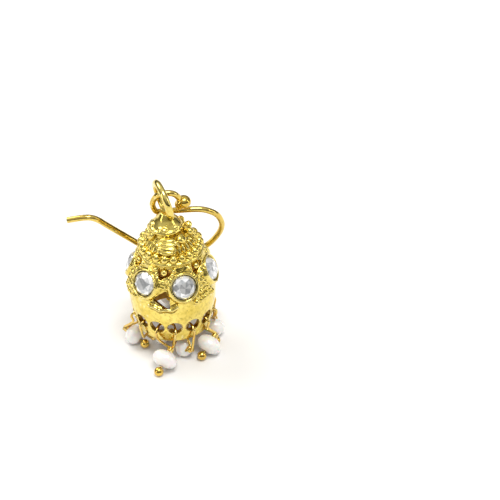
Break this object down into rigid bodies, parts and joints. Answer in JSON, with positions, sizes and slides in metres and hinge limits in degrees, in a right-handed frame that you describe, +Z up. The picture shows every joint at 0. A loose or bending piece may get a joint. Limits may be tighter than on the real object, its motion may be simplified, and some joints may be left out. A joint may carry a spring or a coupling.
{
  "type": "bell drop earring",
  "caption": "Bell-shaped drop earring: pierced hollow bell with round set stones and grain work, pearl drops wired through its holes, and a French ear wire through the ring on top.",
  "frame": {"origin": "middle of the bottom of the whole earring's box, on the surface that its pearls stand on", "axes": "+Z up along the bell's axis to its ring, -Y towards the side that the picture shows, +X to the picture's right"},
  "size_m": [0.0246, 0.021, 0.0296],
  "materials": {
    "gold_casting": "bright gold plate over a cast surface",
    "gold_wire": "bright gold plate",
    "pin_wire": "bright deep gold plate",
    "crystal": "cut and foil-backed",
    "pearl": "pearl lustre"
  },
  "bodies": {
    "root": {"bell": "gold_casting", "ear_wire": "gold_wire", "stone_1": "crystal", "stone_2": "crystal", "stone_3": "crystal", "stone_4": "crystal", "stone_5": "crystal", "stone_6": "crystal", "pearl_1": "pearl", "pearl_2": "pearl", "pearl_3": "pearl", "pearl_4": "pearl", "pearl_5": "pearl", "pearl_6": "pearl", "pearl_7": "pearl", "pearl_8": "pearl", "pearl_9": "pearl", "head_pin_1": "pin_wire", "head_pin_2": "pin_wire", "head_pin_3": "pin_wire", "head_pin_4": "pin_wire", "head_pin_5": "pin_wire", "head_pin_6": "pin_wire", "head_pin_7": "pin_wire", "head_pin_8": "pin_wire", "head_pin_9": "pin_wire"}
  },
  "joints": []
}
